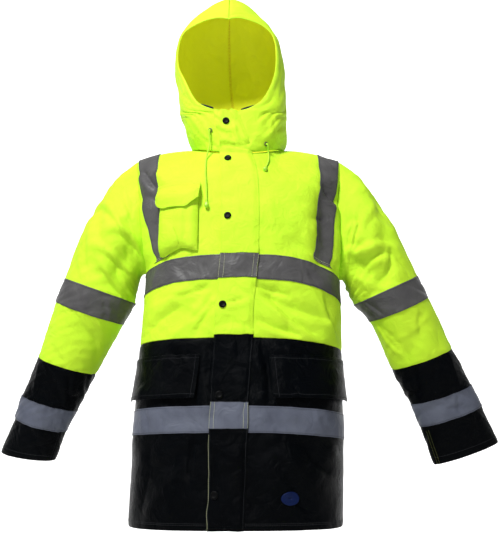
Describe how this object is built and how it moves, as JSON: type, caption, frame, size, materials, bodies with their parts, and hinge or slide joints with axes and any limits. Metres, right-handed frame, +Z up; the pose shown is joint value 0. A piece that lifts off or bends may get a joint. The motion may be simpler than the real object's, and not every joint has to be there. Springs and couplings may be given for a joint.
{
  "type": "hi-vis work jacket",
  "caption": "Hooded hi-vis parka, hollow, filled out as worn: lime upper, black lower, grey reflective tape, storm flap with snaps, pockets and set-in sleeves.",
  "frame": {"origin": "middle of the shoulders at the foot of the neck, where the wearer holds the jacket up", "axes": "+Z up, the front faces -Y, +X to the wearer's left"},
  "size_m": [1.0822, 0.3086, 1.1953],
  "materials": {
    "lime_cloth": "satin oxford weave, fluorescent yellow-green",
    "black_cloth": "satin oxford weave, black",
    "silver_tape": "grey retroreflective tape",
    "snap_black": "satin black",
    "patch_navy": "navy badge, bare",
    "hook_tape": "hook tape",
    "lime_cord": "braided cord",
    "cord_end": "moulded plastic"
  },
  "bodies": {
    "root": {"back_lower": "black_cloth", "back_upper": "lime_cloth", "brace_tape_left": "silver_tape", "brace_tape_right": "silver_tape", "chest_pocket": "lime_cloth", "chest_pocket_flap": "lime_cloth", "chest_tape_back": "silver_tape", "chest_tape_flap": "silver_tape", "chest_tape_front_left": "silver_tape", "chest_tape_front_right": "silver_tape", "collar": "lime_cloth", "cord_end_left": "cord_end", "cord_end_right": "cord_end", "cuff_tape_left": "silver_tape", "cuff_tape_right": "silver_tape", "drawcord_left": "lime_cord", "drawcord_right": "lime_cord", "eyelet_left": "cord_end", "eyelet_right": "cord_end", "front_left_lower": "black_cloth", "front_left_upper": "lime_cloth", "front_right_lower": "black_cloth", "front_right_upper": "lime_cloth", "hem_tape_back": "silver_tape", "hem_tape_flap": "silver_tape", "hem_tape_front_left": "silver_tape", "hem_tape_front_right": "silver_tape", "hip_pocket_flap_left": "black_cloth", "hip_pocket_flap_right": "black_cloth", "hood_left": "lime_cloth", "hood_right": "lime_cloth", "hook_tape_left": "hook_tape", "hook_tape_right": "hook_tape", "oval_patch": "patch_navy", "sleeve_left_lower": "black_cloth", "sleeve_left_upper": "lime_cloth", "sleeve_right_lower": "black_cloth", "sleeve_right_upper": "lime_cloth", "sleeve_tape_left": "silver_tape", "sleeve_tape_right": "silver_tape", "snap_1": "snap_black", "snap_2": "snap_black", "snap_3": "snap_black", "snap_4": "snap_black", "snap_5": "snap_black", "snap_6": "snap_black", "storm_flap_lower": "black_cloth", "storm_flap_upper": "lime_cloth"}
  },
  "joints": []
}
